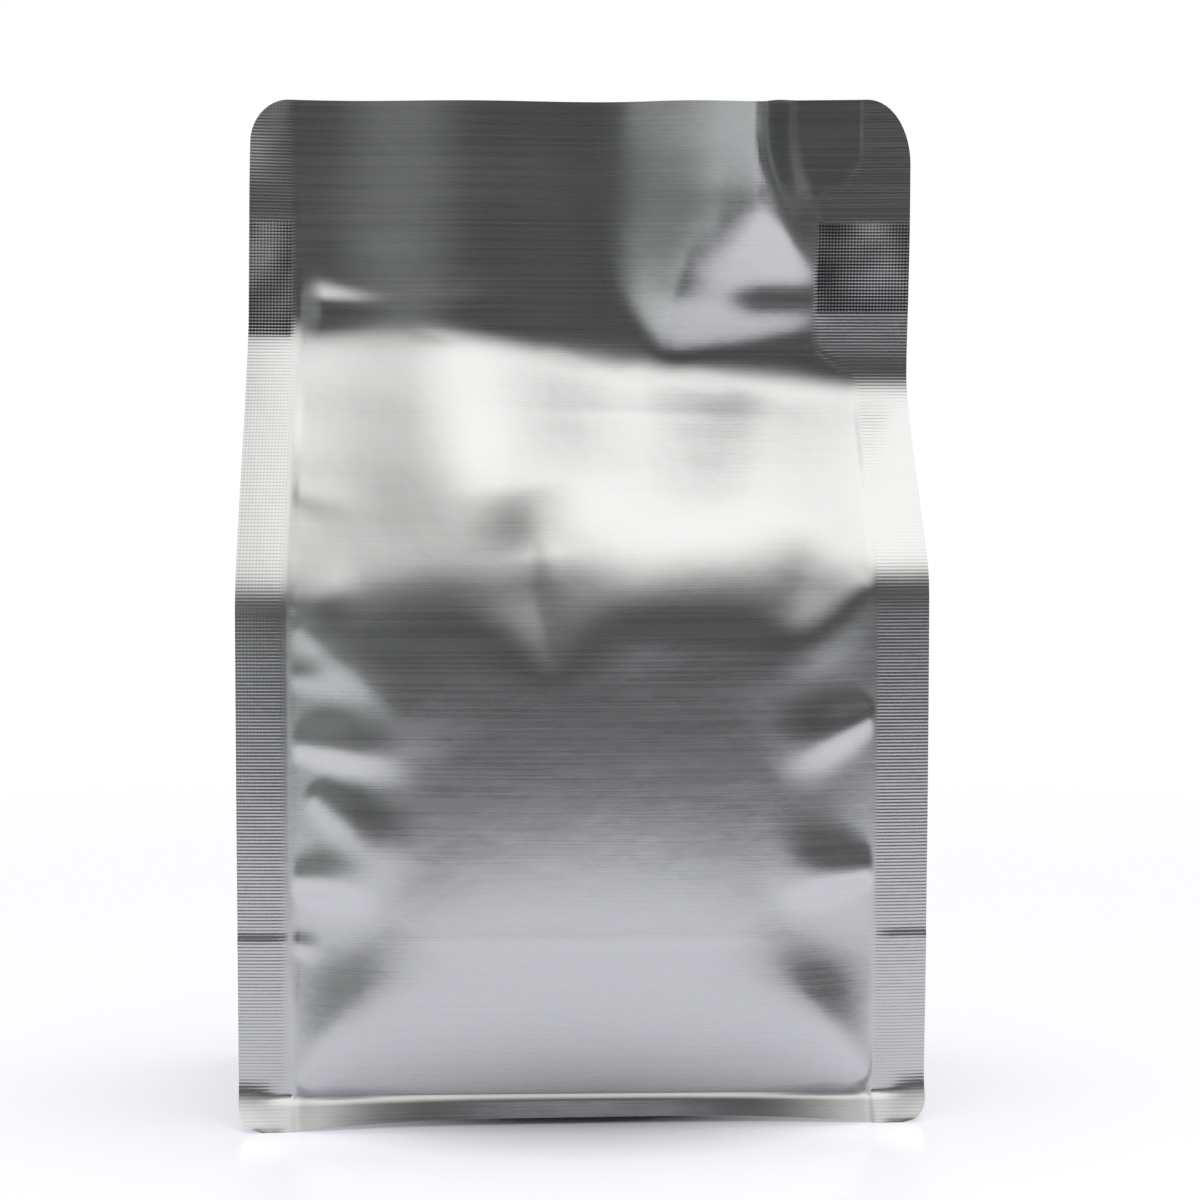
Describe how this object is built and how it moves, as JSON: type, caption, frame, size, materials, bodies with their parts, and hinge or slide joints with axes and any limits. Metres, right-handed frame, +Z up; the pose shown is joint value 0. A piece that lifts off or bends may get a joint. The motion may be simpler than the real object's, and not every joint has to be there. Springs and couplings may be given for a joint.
{
  "type": "flat bottom coffee bag",
  "caption": "Shut and filled flat bottom foil bag for coffee, with side gussets, sealed corner fins, a flared base skirt and a flat pressed top.",
  "frame": {"origin": "on the floor, under the middle of the bag's box", "axes": "+Z up, -Y out of the front panel, +X to the right as seen from the front"},
  "size_m": [0.1434, 0.0924, 0.2113],
  "materials": {
    "foil": "satin silver foil laminate with fine level rolling lines and knurled heat seals"
  },
  "bodies": {
    "root": {"bag": "foil"}
  },
  "joints": []
}
